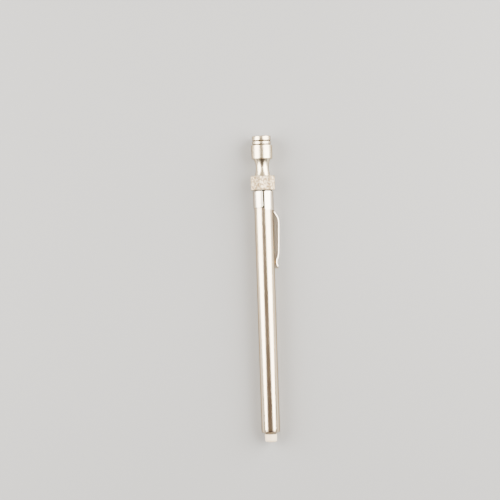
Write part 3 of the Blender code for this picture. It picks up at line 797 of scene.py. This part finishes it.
# ---- Piston ----
def make_piston():
    """A rubber cup between two washers on a rivet, and the stem that pushes the bar."""
    hole, outer = 0.95 * MM, BORE_RADIUS - RUNNING_GAP
    floor_top, floor_bottom = PISTON_TOP + 3.0 * MM, PISTON_TOP + 4.0 * MM
    retainer_bottom = floor_top - STACK_GAP
    retainer_top = retainer_bottom - 0.8 * MM
    seat_top = floor_bottom + STACK_GAP
    seat_bottom = seat_top + 0.8 * MM
    boss_end, boss_radius = seat_bottom + 1.6 * MM, 2.8 * MM
    stem_top, stem_end = boss_end + STACK_GAP, BAR_TOP - 0.2 * MM
    shank_end = stem_top + 1.4 * MM
    head_bottom = retainer_top - STACK_GAP
    head_top, head_radius = head_bottom - 0.6 * MM, 1.6 * MM
    small = 0.08 * MM
    pieces = {
        "piston_cup": (rubber, "rubber", [
            (outer, PISTON_TOP),
            (outer, floor_bottom, 0.35 * MM),
            (hole, floor_bottom),
            (hole, floor_top),
            (outer - 0.75 * MM, floor_top, 0.3 * MM),
            (outer - 0.4 * MM, PISTON_TOP, 0.1 * MM),
        ]),
        "cup_retainer": (brass, "brass", [
            (hole, retainer_top, small),
            (3.0 * MM, retainer_top, small),
            (3.0 * MM, retainer_bottom, small),
            (hole, retainer_bottom, small),
        ]),
        "spring_seat": (brass, "brass", [
            (hole, seat_top),
            (outer - STACK_GAP, seat_top, small),
            (outer - STACK_GAP, seat_bottom, small),
            (boss_radius, seat_bottom, 0.2 * MM),
            (boss_radius, boss_end, 0.2 * MM),
            (hole, boss_end),
        ]),
        "piston_stem": (brass, "brass", [
            (hole, stem_top),
            (2.0 * MM, stem_top, small),
            (2.0 * MM, stem_end, 0.35 * MM),
            (0, stem_end),
            (0, shank_end + STACK_GAP),
            (hole, shank_end + STACK_GAP),
        ]),
        "piston_rivet": (brass, "brass", [
            (0, head_top),
            (head_radius, head_top, 0.3 * MM),
            (head_radius, head_bottom),
            (hole - STACK_GAP, head_bottom),
            (hole - STACK_GAP, shank_end, small),
            (0, shank_end),
        ]),
    }
    for node, (surface, slot, corners) in pieces.items():
        add_piece(node + "_fine", lathe(softened(corners), MEDIUM), surface, "piston", [node])


# ---- Pressure spring ----
WIRE_RADIUS, COIL_RADIUS, COIL_TURNS = 0.35 * MM, 3.4 * MM, 22


def make_spring():
    """Round wire wound from the piston to the tail."""
    steps_per_turn, sides = 40, 12
    top, end = SPRING_TOP + WIRE_RADIUS, SPRING_END - WIRE_RADIUS
    closed_rise = 2.2 * WIRE_RADIUS
    open_turns = COIL_TURNS - 2
    pitch = (end - top - 2 * closed_rise) / open_turns
    count = COIL_TURNS * steps_per_turn
    points, faces = [], []
    for k in range(count + 1):
        turn = k / steps_per_turn
        depth = top + closed_rise * min(turn, 1) + pitch * min(max(turn - 1, 0), open_turns)
        depth += closed_rise * max(turn - 1 - open_turns, 0)
        angle = math.tau * turn
        for j in range(sides):
            around = math.tau * j / sides
            radius = COIL_RADIUS + WIRE_RADIUS * math.cos(around)
            height = -depth + WIRE_RADIUS * math.sin(around)
            points.append((radius * math.cos(angle), radius * math.sin(angle), height))
    for k in range(count):
        for j in range(sides):
            a, b = k * sides + j, k * sides + (j + 1) % sides
            faces.append((a, b, b + sides, a + sides))
    faces.append(tuple(range(sides)))
    faces.append(tuple(count * sides + j for j in range(sides)))
    mesh = bpy.data.meshes.new("spring")
    mesh.from_pydata(points, [], faces)
    name = "pressure_spring_fine"
    piece = add_piece(name, mesh, spring_steel, "gauge_body", ["pressure_spring"], 50)
    piece.modifiers.clear()
    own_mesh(piece)
    return piece


# ---- Clip ----
CLIP_THICKNESS = 0.4 * MM
BAND_RADIUS = BARREL_RADIUS + RUNNING_GAP + CLIP_THICKNESS / 2
BAND_STEP = 1.3 * MM
SLIT_LEAN = math.radians(2.9)
SLIT_WIDTH = 0.75 * MM
SLIT_CORNER = 0.8 * MM
# The strip's two ends stay straight over this angle on each side of the split.
BAND_END_ANGLE = 0.30
ROOT_CORNER = 0.9 * MM
ARM_ROOT_HALF_WIDTH = 2.35 * MM
ARM_TIP_HALF_WIDTH = 1.95 * MM
ARM_TIP_CORNER = 1.2 * MM
ARM_FLATTENS_OVER = 4.0 * MM
DIMPLE_STATION, DIMPLE_RADIUS, DIMPLE_HEIGHT = 63.0 * MM, 1.5 * MM, 0.65 * MM
# The arm's middle surface as (depth behind the nose, distance from the barrel's axis).
ARM_PATH = [
    (37.4 * MM, 4.85 * MM),
    (38.7 * MM, 5.6 * MM),
    (40.2 * MM, 6.6 * MM),
    (42.3 * MM, 7.18 * MM),
    (49.0 * MM, 7.1 * MM),
    (57.0 * MM, 6.8 * MM),
    (60.2 * MM, 6.45 * MM),
    (61.6 * MM, 5.8 * MM),
    (63.2 * MM, 5.5 * MM),
    (64.8 * MM, 6.05 * MM),
    (66.2 * MM, 6.75 * MM),
]


def smooth_path(points, steps):
    """Points along a smooth curve through the given ones, a fixed number to each span."""
    path = [Vector(point) for point in points]
    ends = [path[0] * 2 - path[1]] + path + [path[-1] * 2 - path[-2]]
    curve = []
    for before, a, b, after in zip(ends, ends[1:], ends[2:], ends[3:]):
        span = (b - a).length
        leave = (b - before).normalized() * span / 3
        arrive = (after - a).normalized() * span / 3
        curve += interpolate_bezier(a, a + leave, b - arrive, b, steps + 1)[:-1]
    return curve + [path[-1]]


ARM_CURVE = smooth_path(ARM_PATH, 12)


def arm_radius(depth):
    """Distance of the clip's middle surface from the axis: the band's own above the arm."""
    if depth <= ARM_CURVE[0].x:
        return BAND_RADIUS
    for a, b in zip(ARM_CURVE, ARM_CURVE[1:]):
        if depth <= b.x:
            return a.y + (b.y - a.y) * (depth - a.x) / (b.x - a.x)
    return ARM_CURVE[-1].y


def arm_half_width(depth):
    """Tapers from the root to the tip, which has round corners."""
    first, last = ARM_PATH[0][0], ARM_PATH[-1][0]
    share = max(0.0, (depth - first) / (last - first))
    width = ARM_ROOT_HALF_WIDTH + (ARM_TIP_HALF_WIDTH - ARM_ROOT_HALF_WIDTH) * share
    into_tip = depth - (last - ARM_TIP_CORNER)
    if into_tip > 0:
        width -= ARM_TIP_CORNER - math.sqrt(max(0.0, ARM_TIP_CORNER**2 - into_tip**2))
    return width


def clip_point(along, depth):
    """The clip's middle surface at a length round from the arm's centre line and a depth."""
    radius = arm_radius(depth)
    angle = along / BAND_RADIUS
    slit_angle = SLIT_LEAN - math.pi / 2 - ROLL
    from_slit = min((angle - slit_angle) % math.tau, (slit_angle - angle) % math.tau)
    straight = BAND_RADIUS / math.cos(max(0.0, BAND_END_ANGLE - from_slit))
    flat = min(1.0, max(0.0, (depth - ARM_CURVE[0].x) / ARM_FLATTENS_OVER))
    x = radius - BAND_RADIUS + straight * math.cos(angle)
    y = straight * math.sin(angle)
    x += (radius - x) * flat
    off = math.hypot(y, depth - DIMPLE_STATION) / DIMPLE_RADIUS
    if off < 1:
        x -= DIMPLE_HEIGHT * math.cos(math.pi / 2 * off) ** 2
    return Vector((x, y, -depth))


def corner_rise(distance, size):
    """How far an edge draws back at a distance from a round corner's side."""
    if distance >= size:
        return 0.0
    return size - math.sqrt(size**2 - (size - distance) ** 2)


def band_edge(share):
    """The band's lower edge from the arm's side of the split (0) round the back to its other side (1)."""
    blend = min(1.0, max(0.0, (share - 0.5) / 0.3))
    return BAND_BOTTOM - BAND_STEP * blend * blend * (3 - 2 * blend)


def clip_columns():
    """Lengths round the band, close together at the split's corners, at the arm's root and across the arm."""
    slit = (SLIT_LEAN - math.pi / 2 - ROLL) * BAND_RADIUS
    start = slit + SLIT_WIDTH / 2
    end = slit + math.tau * BAND_RADIUS - SLIT_WIDTH / 2
    root = ARM_ROOT_HALF_WIDTH
    corner = [SLIT_CORNER * s for s in (0, 0.03, 0.1, 0.22, 0.4, 0.65, 1)]
    fillet = [ROOT_CORNER * s for s in (0, 0.04, 0.12, 0.25, 0.45, 0.7, 1)]
    arm = [root * (2 * k / 20 - 1) for k in range(21)]
    columns = [start + c for c in corner] + [end - c for c in reversed(corner)]
    columns += arm + [-root - f for f in fillet[1:]] + [root + f for f in fillet[1:]]
    step = 0.3 * MM
    for low, high in ((start + SLIT_CORNER, -root - ROOT_CORNER), (root + ROOT_CORNER, end - SLIT_CORNER)):
        count = round((high - low) / step)
        columns += [low + (high - low) * k / count for k in range(1, count)]
    return sorted(columns), start, end


def make_clip():
    """The pocket clip: one strip of spring steel, bent into a split band and a sprung arm."""
    columns, start, end = clip_columns()
    root = ARM_ROOT_HALF_WIDTH
    arm_start = BAND_BOTTOM + ROOT_CORNER
    solid = bmesh.new()
    rows_in_band = 14
    grid = []
    for along in columns:
        edge_distance = min(along - start, end - along)
        rise = corner_rise(edge_distance, SLIT_CORNER)
        bottom = band_edge((along - start) / (end - start)) - rise
        beside = abs(along) - root
        if beside <= 0:
            bottom = arm_start
        elif beside < ROOT_CORNER:
            bottom += corner_rise(beside, ROOT_CORNER)
        top = BAND_TOP + rise / 2
        column = [clip_point(along, top + (bottom - top) * k / rows_in_band) for k in range(rows_in_band + 1)]
        grid.append([solid.verts.new(point) for point in column])
    for left, right in zip(grid, grid[1:]):
        for k in range(rows_in_band):
            solid.faces.new((left[k], left[k + 1], right[k + 1], right[k]))
    arm = [(along, verts) for along, verts in zip(columns, grid) if abs(along) <= root + 1e-9]
    last_row = [verts[-1] for _, verts in arm]
    shares = [along / root for along, _ in arm]
    tip = ARM_PATH[-1][0]
    body_steps, tip_steps = 90, 14
    tip_start = tip - ARM_TIP_CORNER
    depths = [arm_start + (tip_start - arm_start) * k / body_steps for k in range(1, body_steps + 1)]
    tip_turns = [math.pi / 2 * k / tip_steps for k in range(1, tip_steps + 1)]
    depths += [tip_start + ARM_TIP_CORNER * math.sin(turn) for turn in tip_turns]
    for depth in depths:
        half = arm_half_width(depth)
        row = [solid.verts.new(clip_point(share * half, depth)) for share in shares]
        for k in range(len(row) - 1):
            solid.faces.new((last_row[k], row[k], row[k + 1], last_row[k + 1]))
        last_row = row
    mesh = bpy.data.meshes.new("clip")
    solid.to_mesh(mesh)
    solid.free()
    piece = add_piece("pocket_clip", mesh, clip_plate, None, ["clip_band", "clip_arm"])
    piece.modifiers.clear()
    sheet = piece.modifiers.new("thickness", "SOLIDIFY")
    sheet.thickness = CLIP_THICKNESS
    sheet.offset = 0.0
    sheet.use_even_offset = True
    edges = piece.modifiers.new("edges", "BEVEL")
    edges.width = 0.07 * MM
    edges.segments = 3
    edges.limit_method = "ANGLE"
    edges.angle_limit = math.radians(50)
    settle(piece)
    piece.data.shade_smooth()
    piece.data.set_sharp_from_angle(angle=math.radians(45))
    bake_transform(piece)
    return piece


# ---- Stage ----
def area_light(name, place, aim, size, size_y, power, colour, spin):
    data = bpy.data.lights.new(name, "AREA")
    data.shape = "RECTANGLE"
    data.size = size
    data.size_y = size_y
    data.energy = power
    data.color = colour
    lamp = bpy.data.objects.new(name, data)
    bpy.context.scene.collection.objects.link(lamp)
    facing = (Vector(aim) - Vector(place)).normalized()
    across = Vector((0, 1, 0)).cross(facing).normalized()
    up = facing.cross(across)
    turn = Matrix((across, up, -facing)).transposed().to_4x4()
    lamp.matrix_world = Matrix.Translation(place) @ turn @ Matrix.Rotation(spin, 4, "Z")
    return lamp


def make_floor():
    """A pale floor under the gauge, level with the two places its round parts rest on."""
    collar_y = nose_y - COLLAR_BOTTOM
    tail_y = nose_y - BARREL_END
    collar_low, tail_low = axis_z - COLLAR_RADIUS, axis_z - BARREL_RADIUS
    slope = (tail_low - collar_low) / (tail_y - collar_y)
    clearance = 0.03 * MM
    reach, rings, sides = 4.0, 24, 96
    points, faces = [], []
    for ring in range(rings + 1):
        radius = reach * (ring / rings) ** 2
        for k in range(sides):
            angle = math.tau * k / sides
            x, y = radius * math.cos(angle), radius * math.sin(angle)
            points.append((x, y, collar_low + (y - collar_y) * slope - clearance))
    for ring in range(rings):
        for k in range(sides):
            a, b = ring * sides + k, ring * sides + (k + 1) % sides
            corners = (a, b, b + sides, a + sides) if ring else (a, b + sides, a + sides)
            faces.append(corners)
    mesh = bpy.data.meshes.new("floor")
    mesh.from_pydata(points, [], faces)
    look = Look("pale_floor", Roughness=0.75)
    shade = look.noise((6, 6, 6), detail=2.0)
    look.set(Base_Color=look.blend(shade, (0.36, 0.356, 0.347), (0.34, 0.336, 0.327)))
    mesh.materials.append(look.material)
    floor = bpy.data.objects.new("floor", mesh)
    bpy.context.scene.collection.objects.link(floor)


def make_world():
    """A dim room, pale near the horizon, and above the gauge brighter past its nose than past its tail."""
    world = bpy.data.worlds.new("studio")
    bpy.context.scene.world = world
    world.use_nodes = True
    tree = world.node_tree
    where = tree.nodes.new("ShaderNodeTexCoord")
    split = tree.nodes.new("ShaderNodeSeparateXYZ")
    tree.links.new(where.outputs["Generated"], split.inputs[0])
    height = tree.nodes.new("ShaderNodeMapRange")
    height.inputs[1].default_value, height.inputs[2].default_value = 0.05, 0.6
    tree.links.new(split.outputs["Z"], height.inputs[0])
    along = tree.nodes.new("ShaderNodeMapRange")
    along.inputs[1].default_value, along.inputs[2].default_value = -0.6, 0.6
    tree.links.new(split.outputs["Y"], along.inputs[0])
    ramp = tree.nodes.new("ShaderNodeValToRGB")
    tree.links.new(along.outputs[0], ramp.inputs[0])
    stops = ramp.color_ramp.elements
    stops[0].position, stops[0].color = 0.15, (0.042, 0.025, 0.021, 1)
    stops[1].position, stops[1].color = 0.90, (0.85, 0.76, 0.62, 1)
    between = {0.43: (0.15, 0.094, 0.074, 1), 0.50: (0.26, 0.20, 0.155, 1), 0.59: (0.80, 0.70, 0.56, 1)}
    for position, colour in between.items():
        stops.new(position).color = colour
    mix = tree.nodes.new("ShaderNodeMix")
    mix.data_type = "RGBA"
    mix.inputs[6].default_value = (0.34, 0.335, 0.32, 1)
    tree.links.new(height.outputs[0], mix.inputs[0])
    tree.links.new(ramp.outputs[0], mix.inputs[7])
    tree.links.new(mix.outputs[2], tree.nodes["Background"].inputs["Color"])


def make_lights():
    """Two softboxes beside the gauge. The dark stripe along a round part is the dim room between them."""
    white = (1.0, 0.985, 0.96)
    aim = (0, 0, 0)
    left, right = (-0.515, 0.106, 0.345), (0.508, 0.158, 0.355)
    left_spin, right_spin = math.radians(32), math.radians(-36)
    area_light("soft_left", left, aim, size=0.56, size_y=0.56, power=15, colour=white, spin=left_spin)
    area_light("soft_right", right, aim, size=0.80, size_y=0.60, power=24, colour=white, spin=right_spin)


# The gauge stands almost upright in the picture, seen from straight above the floor.
PICTURE_TILT = math.radians(1.87)
PICTURE_WIDTH = 249.3 * MM
CAMERA_HEIGHT = 0.85
SENSOR = 36.0
# Where the picture's middle lies from the middle of the gauge, along the picture's right and down.
MIDDLE_RIGHT = -8.1 * MM
MIDDLE_DOWN = -19.4 * MM


def make_camera():
    data = bpy.data.cameras.new("camera")
    data.sensor_width = SENSOR
    data.lens = SENSOR * CAMERA_HEIGHT / PICTURE_WIDTH
    data.clip_end = 20.0
    camera = bpy.data.objects.new("camera", data)
    bpy.context.scene.collection.objects.link(camera)
    tail, side = Vector((0, -1, 0)), Vector((1, 0, 0))
    right = side * math.cos(PICTURE_TILT) + tail * math.sin(PICTURE_TILT)
    down = tail * math.cos(PICTURE_TILT) - side * math.sin(PICTURE_TILT)
    middle = Vector((axis_x, nose_y - LENGTH / 2, axis_z)) + right * MIDDLE_RIGHT + down * MIDDLE_DOWN
    up = Vector((0, 0, 1))
    turn = Matrix((right, -down, up)).transposed().to_4x4()
    camera.matrix_world = Matrix.Translation(middle + up * CAMERA_HEIGHT) @ turn
    bpy.context.scene.camera = camera


make_chuck()
make_nose_ring()
make_valve_seal()
make_depressor()
make_gasket()
make_barrel()
make_tail()
make_friction_leaf()
make_bar()
make_ferrule()
top_flat, under_flat = math.pi / 2 * 3 - ROLL, math.pi / 2 - ROLL
make_scale("scale_psi_top", top_flat, 1.0, 5, 50, 1, 5, 10)
make_scale("scale_psi_under", under_flat, 1.0, 5, 50, 1, 5, 10)
make_scale("scale_kpa_right", -ROLL, KPA_PER_PSI, 40, 340, 10, 50, 50)
make_scale("scale_kpa_left", math.pi - ROLL, KPA_PER_PSI, 40, 340, 10, 50, 50)
make_piston()
make_spring()
make_clip()
make_floor()
make_world()
make_lights()
make_camera()
